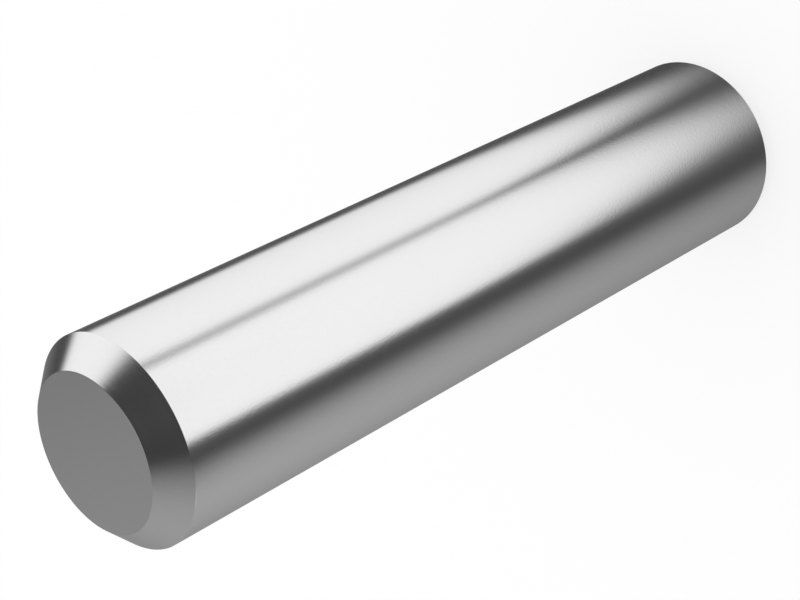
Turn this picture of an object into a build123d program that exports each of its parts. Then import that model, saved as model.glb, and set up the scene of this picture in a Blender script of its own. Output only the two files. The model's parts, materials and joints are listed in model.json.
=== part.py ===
from build123d import *
import os

# Interference stud: a headless pin of ground steel, pressed into a reamed hole.
# Sizes are in millimetres. The stud stands on its drive end, centred on the Z axis,
# with its leading end up. Both ends are chamfered at 45 degrees.

# Shank, drawn at its nominal size
shank_diameter = 8.0
stud_length = 35.0

# Chamfers, each measured along the axis and across the radius alike
lead_chamfer = 1.0
drive_chamfer = 0.7

# Corners, which grinding and tumbling leave slightly round
edge_radius = 0.02

shank_radius = shank_diameter / 2
lead_face_radius = shank_radius - lead_chamfer
drive_face_radius = shank_radius - drive_chamfer
shank_top = stud_length - lead_chamfer

with BuildPart() as stud:
    # Half of the lengthwise section, from the axis out to the shank
    with BuildSketch(Plane.XZ) as section:
        with BuildLine():
            Polyline(
                (0, 0),
                (drive_face_radius, 0),
                (shank_radius, drive_chamfer),
                (shank_radius, shank_top),
                (lead_face_radius, stud_length),
                (0, stud_length),
                close=True,
            )
        make_face()
        # The four corners of the chamfers are all those that lie off the axis
        on_axis, *off_axis = section.vertices().group_by(Axis.X)
        fillet([corner for group in off_axis for corner in group], radius=edge_radius)
    revolve(axis=Axis.Z)

stud.part.label = "stud"

os.makedirs("parts", exist_ok=True)
export_step(stud.part, "parts/stud.step")
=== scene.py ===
import json
import logging
import math
from dataclasses import dataclass, field
from enum import Enum
from typing import Any

import bpy
import numpy as np
from mathutils import Matrix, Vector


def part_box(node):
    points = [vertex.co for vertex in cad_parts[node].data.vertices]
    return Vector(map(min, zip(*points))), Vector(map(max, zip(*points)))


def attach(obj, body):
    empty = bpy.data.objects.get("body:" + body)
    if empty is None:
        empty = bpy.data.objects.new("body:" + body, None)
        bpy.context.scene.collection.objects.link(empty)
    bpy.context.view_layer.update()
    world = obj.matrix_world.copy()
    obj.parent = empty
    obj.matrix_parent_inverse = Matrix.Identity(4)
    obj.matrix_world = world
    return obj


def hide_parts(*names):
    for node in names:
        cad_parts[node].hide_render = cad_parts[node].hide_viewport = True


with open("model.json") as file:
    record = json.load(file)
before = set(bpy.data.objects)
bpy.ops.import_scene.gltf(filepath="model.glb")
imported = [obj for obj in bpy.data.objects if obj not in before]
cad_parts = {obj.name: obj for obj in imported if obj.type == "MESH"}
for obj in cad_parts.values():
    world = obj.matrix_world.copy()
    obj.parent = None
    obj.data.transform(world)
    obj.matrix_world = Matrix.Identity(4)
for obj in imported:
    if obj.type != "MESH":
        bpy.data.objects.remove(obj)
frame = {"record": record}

MM = 0.001
MICRON = 0.001 * MM

# Sockets of a Mix node that mixes colours. They go by number, because their names repeat.
MIX_FACTOR, MIX_FIRST, MIX_SECOND, MIXED = 0, 6, 7, 2

log = logging.getLogger("interference_stud")


def opaque_grey(level: float) -> tuple[float, float, float, float]:
    """Returns the solid grey of a level from black at 0 to white at 1, as a shader's colour."""
    return (level, level, level, 1.0)


def quads_between(rings: np.ndarray) -> np.ndarray:
    """Works out the quads between each closed ring of points and the next.

    A quad's corners are a point, the next one on its ring, and the same two on the ring after it.

    Args:
        rings: The points' numbers, one row for each ring, in order round it.

    Returns:
        The quads, as rows of four point numbers.
    """
    onward = np.roll(rings, -1, axis=1)
    return np.stack([rings[:-1], onward[:-1], onward[1:], rings[1:]], axis=-1).reshape(-1, 4)


class Wire:
    """An output socket of a shader tree. Python's operators on it add Math nodes."""

    def __init__(self, shader: "Shader", socket: bpy.types.NodeSocket) -> None:
        """Wraps one output socket."""
        self.shader = shader
        self.socket = socket

    def other(self, output: str) -> "Wire":
        """Returns another output of the same node."""
        return Wire(self.shader, self.socket.node.outputs[output])

    def __add__(self, value: "Wire | float") -> "Wire":
        """Returns self + value."""
        return self.shader.math("ADD", self, value)

    def __radd__(self, value: float) -> "Wire":
        """Returns value + self."""
        return self.shader.math("ADD", value, self)

    def __sub__(self, value: "Wire | float") -> "Wire":
        """Returns self - value."""
        return self.shader.math("SUBTRACT", self, value)

    def __rsub__(self, value: float) -> "Wire":
        """Returns value - self."""
        return self.shader.math("SUBTRACT", value, self)

    def __mul__(self, value: "Wire | float") -> "Wire":
        """Returns self * value."""
        return self.shader.math("MULTIPLY", self, value)

    def __rmul__(self, value: float) -> "Wire":
        """Returns value * self."""
        return self.shader.math("MULTIPLY", value, self)

    def __truediv__(self, value: "Wire | float") -> "Wire":
        """Returns self / value."""
        return self.shader.math("DIVIDE", self, value)

    def __rtruediv__(self, value: float) -> "Wire":
        """Returns value / self."""
        return self.shader.math("DIVIDE", value, self)


class Shader:
    """The node tree of a material or of the world, cleared and ready for its nodes."""

    def __init__(self, owner: bpy.types.Material | bpy.types.World) -> None:
        """Clears the owner's tree.

        Args:
            owner: The material or world whose tree this is.
        """
        owner.use_nodes = True
        self.tree = owner.node_tree
        self.tree.nodes.clear()
        self.ending = "World" if isinstance(owner, bpy.types.World) else "Material"

    def node(self, kind: str, settings: dict[str, Any] | None = None,
             inputs: dict[str | int, Any] | None = None, output: str | int = 0) -> Wire | None:
        """Adds a node.

        Args:
            kind: The node's type, without the ShaderNode that all types start with.
            settings: Its properties, which are set first.
            inputs: Its sockets by name or number, each a value or a Wire.
            output: The output to return.

        Returns:
            That output, or None from a node that has none.
        """
        made = self.tree.nodes.new("ShaderNode" + kind)
        for name, value in (settings or {}).items():
            setattr(made, name, value)
        for name, value in (inputs or {}).items():
            if isinstance(value, Wire):
                self.tree.links.new(value.socket, made.inputs[name])
            else:
                made.inputs[name].default_value = value
        return Wire(self, made.outputs[output]) if made.outputs else None

    def math(self, operation: str, *values: Wire | float) -> Wire:
        """Returns the result of a Math node on these values."""
        return self.node("Math", {"operation": operation}, dict(enumerate(values)))

    def vector(self, operation: str, *values: Any, output: str = "Vector") -> Wire:
        """Returns an output of a Vector Math node on these values."""
        return self.node("VectorMath", {"operation": operation}, dict(enumerate(values)), output)

    def rise(self, value: Wire, start: float, end: float) -> Wire:
        """Returns 0 before start, 1 after end, and a smooth step between them."""
        return self.node("MapRange", {"interpolation_type": "SMOOTHSTEP"},
                         {"Value": value, "From Min": start, "From Max": end})

    def grey(self, share: Wire, low: float, high: float) -> Wire:
        """Returns a grey that goes from low to high as share goes from 0 to 1."""
        ends = {MIX_FACTOR: share, MIX_FIRST: opaque_grey(low), MIX_SECOND: opaque_grey(high)}
        return self.node("Mix", {"data_type": "RGBA"}, ends, MIXED)

    def finish(self, closure: Wire) -> None:
        """Makes a closure the tree's surface."""
        self.node("Output" + self.ending, inputs={"Surface": closure})


@dataclass(frozen=True)
class SteelFinish:
    """Bright steel with a fine satin grain, and faint marks that run round the axis.

    Attributes:
        name: The material's name.
        mark_height: Height of the marks that grinding or turning left, in metres.
        mark_pitch: Spacing of those marks along the profile.
        mark_length: How far a mark runs round the stud before it fades.
        grain_height: Height of the satin grain.
        grain_width: Size of one grain across the axis.
        grain_length: Size of one grain along it.
        cloud_size: Size of one patch of the slow clouding, both ways.
        cloud_share: Share of the clouding in the grey's changes. The rest is the grain's.
        roughness: The mean roughness.
        roughness_spread: How far the marks move the roughness from its mean.
        brightness: The steel's mean grey, from black at 0 to white at 1.
        brightness_spread: How far the grain and the clouding move the grey from its mean.
        grazing_tint: Share of its light that the steel keeps where it is met at a grazing 82
            degrees. Real steel has such a dip just before it mirrors everything.
    """

    name: str
    mark_height: float
    mark_pitch: float
    mark_length: float = 8 * MM
    grain_height: float = 1.3 * MICRON
    grain_width: float = 70 * MICRON
    grain_length: float = 108 * MICRON
    cloud_size: float = 5 * MM
    cloud_share: float = 0.2
    roughness: float = 0.181
    roughness_spread: float = 0.015
    brightness: float = 0.88
    brightness_spread: float = 0.025
    grazing_tint: float = 0.8

    def marks(self, shader: Shader, point: Wire) -> Wire:
        """Noise that changes fast along the profile and slowly round the axis.

        It is noise in four dimensions, read at (x / length, y / length, z / pitch, r / pitch) where
        r is the distance from the axis. So the marks are rings on the shank, the chamfers and the
        end faces alike, with no seam where the turn closes.

        Args:
            shader: The material's tree.
            point: The point in Object coordinates.

        Returns:
            The noise, from 0 to 1 about a mean of a half.
        """
        round_and_up = (1 / self.mark_length, 1 / self.mark_length, 1 / self.mark_pitch)
        across = shader.vector("MULTIPLY", point, (1, 1, 0))
        radius = shader.vector("LENGTH", across, output="Value")
        return shader.node("TexNoise", {"noise_dimensions": "4D"}, {
            "Vector": shader.vector("MULTIPLY", point, round_and_up), "W": radius / self.mark_pitch,
            "Scale": 1.0, "Detail": 2.0, "Roughness": 0.6})

    def speckle(self, shader: Shader, point: Wire, width: float, length: float) -> Wire:
        """Returns noise from 0 to 1 whose spots have this width across the axis and length along it."""
        spots = shader.vector("DIVIDE", point, (width, width, length))
        return shader.node("TexNoise", {}, {"Vector": spots, "Scale": 1.0, "Detail": 1.0})

    def material(self) -> bpy.types.Material:
        """Builds the material.

        Returns:
            Metal whose grain and marks move its normal, whose marks also move its roughness, and
            whose grain and clouding move its grey.
        """
        made = bpy.data.materials.new(self.name)
        shader = Shader(made)
        point = shader.node("TexCoord", output="Object")
        marks = self.marks(shader, point)
        grain = self.speckle(shader, point, self.grain_width, self.grain_length)
        cloud = self.speckle(shader, point, self.cloud_size, self.cloud_size)
        shade = self.cloud_share * cloud + (1 - self.cloud_share) * grain
        height = marks * (self.mark_height / MICRON) + grain * (self.grain_height / MICRON)
        shader.finish(shader.node("BsdfPrincipled", {}, {
            "Metallic": 1.0,
            "Specular Tint": opaque_grey(self.grazing_tint),
            "Base Color": shader.grey(shade, self.brightness - self.brightness_spread,
                                      self.brightness + self.brightness_spread),
            "Roughness": marks * (2 * self.roughness_spread) + (self.roughness - self.roughness_spread),
            "Normal": shader.node("Bump", {}, {"Height": height, "Distance": MICRON}),
        }))
        return made


class Surface(Enum):
    """The stud's kinds of surface, each with the finish that its making leaves."""

    SHANK = SteelFinish("ground_shank", mark_height=0.15 * MICRON, mark_pitch=0.09 * MM)
    CHAMFER = SteelFinish("turned_chamfer", mark_height=0.45 * MICRON, mark_pitch=0.11 * MM,
                          grain_height=0.4 * MICRON)
    END_FACE = SteelFinish("faced_end", mark_height=0.5 * MICRON, mark_pitch=0.13 * MM)


@dataclass
class Stud:
    """The interference stud: a solid of revolution about the Z axis, which stands on its drive end.

    Attributes:
        lead_chamfer: Width of the 45 degree chamfer at the upper, leading end.
        drive_chamfer: Width of the one at the lower end.
        edge_radius: Radius of the slightly round corners beside the chamfers.
        arc_steps: Straight steps in each of those corners.
        turn_steps: Steps round the axis.
        radius: Radius of the shank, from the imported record.
        length: The whole length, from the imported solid.
    """

    lead_chamfer: float = 1.0 * MM
    drive_chamfer: float = 0.7 * MM
    edge_radius: float = 0.02 * MM
    arc_steps: int = 4
    turn_steps: int = 480
    radius: float = field(init=False)
    length: float = field(init=False)

    def __post_init__(self) -> None:
        """Reads the shank's radius and the stud's length from the frame."""
        low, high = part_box("stud")
        shank = next(mount for mount in frame["record"]["mounts"] if mount["name"] == "shank")
        self.radius = shank["dims"]["r_mm"] * MM
        self.length = high.z - low.z

    def corners(self) -> tuple[np.ndarray, np.ndarray]:
        """The section's four corners off the axis, from the drive end up.

        The outward normal turns by 45 degrees at each, from straight down to straight up. A corner
        of radius e between the unit normals m and n has its centre at corner - e (m + n) / (1 + m.n).
        Its points lie at centre + e (cos a, sin a), with a going from m's angle to n's.

        Returns:
            The points of the four arcs as (radius, height), and their outward normals.
        """
        sharp = np.array([
            (self.radius - self.drive_chamfer, 0),
            (self.radius, self.drive_chamfer),
            (self.radius, self.length - self.lead_chamfer),
            (self.radius - self.lead_chamfer, self.length),
        ])
        facing = np.radians([-90, -45, 0, 45, 90])
        sides = np.stack([np.cos(facing), np.sin(facing)], axis=-1)
        meeting = 1 + (sides[:-1] * sides[1:]).sum(axis=1, keepdims=True)
        centres = sharp - self.edge_radius * (sides[:-1] + sides[1:]) / meeting
        turned = np.linspace(facing[:-1], facing[1:], self.arc_steps + 1, axis=1)
        outward = np.stack([np.cos(turned), np.sin(turned)], axis=-1)
        return (centres[:, None] + self.edge_radius * outward).reshape(-1, 2), outward.reshape(-1, 2)

    def stretches(self) -> list[Surface]:
        """Names the surface of each stretch of the section, from the lower centre to the upper.

        Returns:
            The surfaces, one for each ring of the skin's faces.
        """
        corner = [Surface.CHAMFER] * self.arc_steps
        between = [Surface.CHAMFER, Surface.SHANK, Surface.CHAMFER, Surface.END_FACE]
        named = [Surface.END_FACE]
        for surface in between:
            named += corner + [surface]
        return named

    def spin(self, section: np.ndarray) -> np.ndarray:
        """Turns points (r, z) of the section round the axis, to rings of (r cos t, r sin t, z).

        Args:
            section: The points, as rows of r and z.

        Returns:
            The rings' points, one ring after the other, as rows of x, y and z.
        """
        turn = np.arange(self.turn_steps) * (2 * math.pi / self.turn_steps)
        radius, height = section[:, :1], section[:, 1:]
        rings = np.broadcast_arrays(radius * np.cos(turn), radius * np.sin(turn), height)
        return np.stack(rings, axis=-1).reshape(-1, 3)

    def mesh(self) -> bpy.types.Mesh:
        """Makes the skin from the spun section, with a fan of triangles round each centre.

        Returns:
            A closed mesh with exact normals, whose faces know their surface.
        """
        points, outward = self.corners()
        vertices = np.concatenate([[(0, 0, 0)], self.spin(points), [(0, 0, self.length)]])
        normals = np.concatenate([[(0, 0, -1)], self.spin(outward), [(0, 0, 1)]])
        rings = 1 + np.arange(len(points) * self.turn_steps).reshape(len(points), self.turn_steps)
        walls = quads_between(rings)
        low_centre, high_centre = np.zeros_like(rings[0]), np.full_like(rings[0], len(vertices) - 1)
        lower = np.stack([low_centre, np.roll(rings[0], -1), rings[0]], axis=-1)
        upper = np.stack([high_centre, rings[-1], np.roll(rings[-1], -1)], axis=-1)
        made = bpy.data.meshes.new("stud_skin")
        made.from_pydata(vertices.tolist(), [], lower.tolist() + walls.tolist() + upper.tolist())
        slots = [list(Surface).index(surface) for surface in self.stretches()]
        made.polygons.foreach_set("material_index", np.repeat(slots, self.turn_steps).astype(np.int32))
        made.polygons.foreach_set("use_smooth", np.ones(len(made.polygons), bool))
        made.normals_split_custom_set_from_vertices(normals.tolist())
        return made

    def build(self) -> bpy.types.Object:
        """Makes the skin and dresses it.

        Returns:
            The finished stud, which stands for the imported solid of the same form.
        """
        mesh = self.mesh()
        for surface in Surface:
            mesh.materials.append(surface.value.material())
        piece = bpy.data.objects.new("ground_stud", mesh)
        bpy.context.scene.collection.objects.link(piece)
        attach(piece, "root")
        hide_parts("stud")
        return piece


def direction(azimuth: float, elevation: float = 0.0) -> np.ndarray:
    """A unit vector at an azimuth from +Y towards +X and an elevation, both in degrees."""
    turn, lift = math.radians(azimuth), math.radians(elevation)
    return np.array([math.sin(turn) * math.cos(lift), math.cos(turn) * math.cos(lift), math.sin(lift)])


def put_on_stage(name: str, mesh: bpy.types.Mesh, material: bpy.types.Material) -> bpy.types.Object:
    """Links a mesh to the scene as something that is no part of the stud.

    Args:
        name: The object's name.
        mesh: Its mesh, already in place.
        material: Its only material.

    Returns:
        The object.
    """
    mesh.materials.append(material)
    made = bpy.data.objects.new(name, mesh)
    bpy.context.scene.collection.objects.link(made)
    return made


def show_in_steel_only(made: bpy.types.Object) -> None:
    """Lets nothing but a reflection meet an object, so that it shapes highlights and no more.

    Args:
        made: The object.
    """
    made.visible_camera = False
    made.visible_diffuse = False
    made.visible_transmission = False
    made.visible_volume_scatter = False
    made.visible_shadow = False


def glowing(name: str) -> bpy.types.Material:
    """Makes a material for something that glows, and isn't sampled as a lamp.

    Args:
        name: The material's name.

    Returns:
        The material, ready for its nodes.
    """
    made = bpy.data.materials.new(name)
    made.cycles.emission_sampling = "NONE"
    return made


@dataclass(kw_only=True)
class ReflectedPanel:
    """A flat panel that faces the stud and shows only in its reflections.

    Attributes:
        name: The panel's name.
        azimuth: Direction from the stud to the panel's plane, in degrees.
        lean: Elevation of that direction.
        turn: How far the panel is turned in its own plane, in degrees.
        distance: Distance of the plane from the stud's middle, in metres.
        sideways: How far the panel's centre lies off that line, towards larger azimuth.
        raised: How far it lies above the line.
        half_size: Half of the panel's width and height.
        level: Its brightness, where 1 is white.
        middle: Height of the stud's middle above the floor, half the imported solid's height.
    """

    name: str
    azimuth: float
    lean: float = 0.0
    turn: float = 0.0
    distance: float
    sideways: float = 0.0
    raised: float = 0.0
    half_size: tuple[float, float]
    level: float
    middle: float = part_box("stud")[1].z / 2

    def mesh(self) -> bpy.types.Mesh:
        """Makes the rectangle, with its corners at centre + x across + y along.

        There x and y are half the width and half the height, each way.

        Returns:
            The rectangle, with a UV map in metres from its centre.
        """
        outward = direction(self.azimuth, self.lean)
        right = direction(self.azimuth + 90)
        above = np.cross(right, outward)
        centre = outward * self.distance + right * self.sideways + above * self.raised + (0, 0, self.middle)
        turn = math.radians(self.turn)
        across = math.cos(turn) * right + math.sin(turn) * above
        along = math.cos(turn) * above - math.sin(turn) * right
        place = np.array([(-1, -1), (1, -1), (1, 1), (-1, 1)]) * self.half_size
        corners = centre + place[:, :1] * across + place[:, 1:] * along
        made = bpy.data.meshes.new(self.name)
        made.from_pydata(corners.tolist(), [], [(0, 1, 2, 3)])
        made.uv_layers.new(name="place").data.foreach_set("uv", place.ravel())
        return made

    def light(self, shader: Shader, place: Wire) -> Wire:
        """Returns the panel's light at a place on it. Each kind of panel has its own."""
        raise NotImplementedError

    def build(self) -> bpy.types.Object:
        """Makes the panel and its light.

        Returns:
            The panel, on the stage.
        """
        material = glowing(self.name)
        shader = Shader(material)
        shader.finish(self.light(shader, shader.node("UVMap", {"uv_map": "place"})))
        made = put_on_stage(self.name, self.mesh(), material)
        show_in_steel_only(made)
        return made


@dataclass(frozen=True)
class Veil:
    """A thin cloth across a softbox, which makes it a little dimmer between two heights.

    Attributes:
        low: Height of its lower edge above the softbox's middle, in metres.
        high: Height of its upper edge.
        soft: Width of each of these soft edges.
        share: Share of the light that it takes.
    """

    low: float
    high: float
    soft: float = 16 * MM
    share: float = 0.3

    def passes(self, shader: Shader, height: Wire) -> Wire:
        """Works out what passes: 1 less the share taken, between a smooth step up and one down.

        Args:
            shader: The softbox's tree.
            height: The height above the softbox's middle.

        Returns:
            The share of the light that passes there.
        """
        half = self.soft / 2
        above_low = shader.rise(height, self.low - half, self.low + half)
        above_high = shader.rise(height, self.high - half, self.high + half)
        return 1 - self.share * (above_low - above_high)


@dataclass(kw_only=True)
class Softbox(ReflectedPanel):
    """An even white panel that fades out along its edges.

    Attributes:
        fade: Widths of the fading edges at its sides and at its top and bottom, all inside the panel.
        veil: A veil across it, if it has one.
    """

    fade: tuple[float, float]
    veil: Veil | None = None

    def light(self, shader: Shader, place: Wire) -> Wire:
        """Works out the level times what the veil passes, faded by a smooth step in from each edge.

        Args:
            shader: The panel's tree.
            place: The place on the panel, in metres from its centre.

        Returns:
            The light, clear where it has faded.
        """
        across = shader.node("SeparateXYZ", {}, {0: shader.vector("ABSOLUTE", place)})
        (half_width, half_height), (side_fade, end_fade) = self.half_size, self.fade
        inside = shader.rise(half_width - across, 0, side_fade)
        inside = inside * shader.rise(half_height - across.other("Y"), 0, end_fade)
        level = self.level
        if self.veil:
            level = level * self.veil.passes(shader, shader.node("SeparateXYZ", {}, {0: place}, "Y"))
        glow = shader.node("Emission", {}, {"Strength": level})
        return shader.node("MixShader", {}, {0: inside, 1: shader.node("BsdfTransparent"), 2: glow})


@dataclass(kw_only=True)
class PaintedPoolPanel(ReflectedPanel):
    """A glowing panel that stands for a matt table, with a painted pool of light on it as from a lamp above
    its middle.

    Attributes:
        reach: How far from the middle, across and along, the pool has fallen to a quarter.
    """

    reach: tuple[float, float]

    def light(self, shader: Shader, place: Wire) -> Wire:
        """Works out level / (1 + (x / reach across)^2 + (y / reach along)^2)^2.

        Args:
            shader: The table's tree.
            place: The place (x, y) on the table, in metres from its centre.

        Returns:
            That light, added to what lies behind the table.
        """
        share = shader.vector("DIVIDE", place, (*self.reach, 1))
        square = shader.vector("DOT_PRODUCT", share, share, output="Value")
        fall = 1 + square
        # Painted pool of light: the glow falls off from the middle, and no lamp lights it.
        glow = shader.node("Emission", {}, {"Strength": self.level / (fall * fall)})
        return shader.node("AddShader", {}, {0: shader.node("BsdfTransparent"), 1: glow})


@dataclass(frozen=True)
class Patch:
    """A soft round patch of light on the dark room's wall.

    Attributes:
        azimuth: Azimuth of its middle, in degrees.
        elevation: Elevation of its middle.
        level: The brightness that it adds, where 1 is white.
        full: Angle from its middle up to which it is full.
        ends: Angle at which it has faded.
    """

    azimuth: float
    elevation: float
    level: float
    full: float
    ends: float

    def light(self, shader: Shader, towards: Wire) -> Wire:
        """Works out the level times a smooth step in the cosine of the angle from the middle.

        Args:
            shader: The room's tree.
            towards: The unit direction in which the wall is seen.

        Returns:
            The brightness that the patch adds there.
        """
        aim = direction(self.azimuth, self.elevation)
        cosine = shader.vector("DOT_PRODUCT", towards, aim, output="Value")
        ends, full = math.cos(math.radians(self.ends)), math.cos(math.radians(self.full))
        return self.level * shader.rise(cosine, ends, full)


CEILING = Patch(azimuth=0, elevation=90, level=0.6, full=8, ends=25)
# Painted glow straight down, which the steel shows in place of the white floor's reflection.
PAINTED_FLOOR_GLOW = Patch(azimuth=0, elevation=-90, level=0.45, full=12, ends=32)


@dataclass
class DarkRoom:
    """The dark room round the stud and the panels, which the steel shows between them.

    Attributes:
        radius: The room's radius.
        level: Its brightness level with the stud.
        slope: How much darker it is straight up, and lighter straight down.
        patches: Patches of light on its wall.
        steps: Steps of the sphere from pole to pole.
    """

    radius: float = 1.2
    level: float = 0.05
    slope: float = 0.0125
    patches: tuple[Patch, ...] = (CEILING, PAINTED_FLOOR_GLOW)
    steps: int = 32

    def mesh(self) -> bpy.types.Mesh:
        """Makes a sphere: radius times (cos u sin v, sin u sin v, cos v) on a grid of u and v.

        Returns:
            The sphere's mesh.
        """
        u = np.arange(2 * self.steps) * (math.pi / self.steps)
        v = np.linspace(0, math.pi, self.steps + 1)[:, None]
        ball = np.broadcast_arrays(np.cos(u) * np.sin(v), np.sin(u) * np.sin(v), np.cos(v))
        grid = self.radius * np.stack(ball, axis=-1)
        rings = np.arange(grid[..., 0].size).reshape(grid.shape[:2])
        made = bpy.data.meshes.new("dark_room")
        made.from_pydata(grid.reshape(-1, 3).tolist(), [], quads_between(rings).tolist())
        return made

    def build(self) -> bpy.types.Object:
        """Makes the room, whose light depends only on the direction in which its wall is seen.

        Returns:
            The room, on the stage.
        """
        material = glowing("dark_room")
        shader = Shader(material)
        towards = shader.vector("NORMALIZE", shader.node("TexCoord", output="Object"))
        level = self.level - self.slope * shader.vector("DOT_PRODUCT", towards, (0, 0, 1), output="Value")
        for patch in self.patches:
            level = level + patch.light(shader, towards)
        shader.finish(shader.node("Emission", {}, {"Strength": level}))
        made = put_on_stage("dark_room", self.mesh(), material)
        show_in_steel_only(made)
        return made


@dataclass
class Floor:
    """A plain white floor that keeps the stud's soft shadow.

    Attributes:
        half_size: Half the length of its sides.
        colour: Its grey, where 1 is white.
        own_light: Share of it that is plain white to the eye, which lightens the shadow.
    """

    half_size: float = 2.0
    colour: float = 1.0
    own_light: float = 0.7

    def build(self) -> bpy.types.Object:
        """Makes the floor, in whose place steel shows the room and the panels.

        Returns:
            The floor, on the stage.
        """
        material = glowing("floor")
        shader = Shader(material)
        seen = shader.node("LightPath", output="Is Camera Ray")
        seen = seen + seen.other("Is Glossy Ray") + seen.other("Is Transmission Ray")
        matt = shader.node("BsdfDiffuse", {}, {"Color": opaque_grey(self.colour)})
        white = shader.node("Emission", {}, {"Strength": 1.0})
        shader.finish(shader.node("MixShader", {}, {0: seen * self.own_light, 1: matt, 2: white}))
        corners = np.array([(-1, -1, 0), (1, -1, 0), (1, 1, 0), (-1, 1, 0)]) * self.half_size
        mesh = bpy.data.meshes.new("floor")
        mesh.from_pydata(corners.tolist(), [], [(0, 1, 2, 3)])
        made = put_on_stage("floor", mesh, material)
        made.visible_glossy = False
        return made


@dataclass
class Surround:
    """White on all sides, which is the backdrop and lights the floor evenly.

    Attributes:
        strength: Its brightness, where 1 is white.
    """

    strength: float = 1.0

    def build(self) -> bpy.types.World:
        """Makes the world.

        Returns:
            The world, now the scene's.
        """
        world = bpy.data.worlds.new("white_surround")
        shader = Shader(world)
        shader.finish(shader.node("Background", {}, {"Color": opaque_grey(1.0), "Strength": self.strength}))
        world.cycles.sampling_method = "NONE"
        bpy.context.scene.world = world
        return world


@dataclass
class PhotoCamera:
    """The photograph's viewpoint. It shows the stud lying, and here it stands, so the camera is rolled.

    Attributes:
        place: Where the camera is, with its line of sight over +Y.
        look_down: How far that line points below the level, in degrees.
        roll: How far the camera is turned about the line, in degrees.
        focal_length: Focal length in millimetres.
        sensor_width: Width of the picture in the camera, in millimetres.
    """

    place: tuple[float, float, float] = (-0.10 * MM, -56.52 * MM, 67.58 * MM)
    look_down: float = 40.10
    roll: float = -117.16
    focal_length: float = 86.31
    sensor_width: float = 36.0

    def build(self) -> bpy.types.Object:
        """Makes the camera.

        Returns:
            The camera, now the scene's.
        """
        data = bpy.data.cameras.new("photo_camera")
        data.sensor_width = self.sensor_width
        data.lens = self.focal_length
        data.clip_start = 1 * MM
        camera = bpy.data.objects.new("photo_camera", data)
        tilt = Matrix.Rotation(math.radians(90 - self.look_down), 4, "X")
        roll = Matrix.Rotation(math.radians(self.roll), 4, "Z")
        camera.matrix_world = Matrix.Translation(self.place) @ tilt @ roll
        bpy.context.scene.collection.objects.link(camera)
        bpy.context.scene.camera = camera
        return camera


PANELS = (
    Softbox(name="right_softbox", azimuth=89.7, distance=109.5 * MM, sideways=-18.5 * MM, raised=-12 * MM,
            half_size=(110 * MM, 138 * MM), fade=(36.5 * MM, 31 * MM), level=0.985,
            veil=Veil(-23 * MM, 18.5 * MM)),
    Softbox(name="left_softbox", azimuth=168.0, distance=83 * MM, sideways=7.5 * MM, raised=-14 * MM,
            half_size=(87 * MM, 117 * MM), fade=(25.5 * MM, 38.5 * MM), level=0.995,
            veil=Veil(-12 * MM, 53.5 * MM)),
    Softbox(name="back_strip", azimuth=-95, distance=120 * MM, raised=-1 * MM,
            half_size=(26 * MM, 42 * MM), fade=(14 * MM, 15 * MM), level=0.6),
    # Glowing panel with a painted pool of light, seen only in the steel's reflections.
    PaintedPoolPanel(name="painted_pool_table", azimuth=-47.5, lean=1.3, turn=-9.6, distance=23 * MM, sideways=-10 * MM,
             raised=-2.2 * MM, half_size=(600 * MM, 600 * MM), reach=(80.5 * MM, 116.5 * MM), level=0.332),
)


def main() -> None:
    """Builds the stud and its stage in order."""
    logging.basicConfig(level=logging.INFO, format="%(name)s: %(message)s")
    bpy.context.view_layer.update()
    bpy.context.scene.view_settings.view_transform = "Standard"
    stud = Stud().build()
    log.info("%s has %d faces", stud.name, len(stud.data.polygons))
    for prop in (Surround(), Floor(), DarkRoom(), *PANELS, PhotoCamera()):
        log.info("set up %s", prop.build().name)


if __name__ == "__main__":
    main()
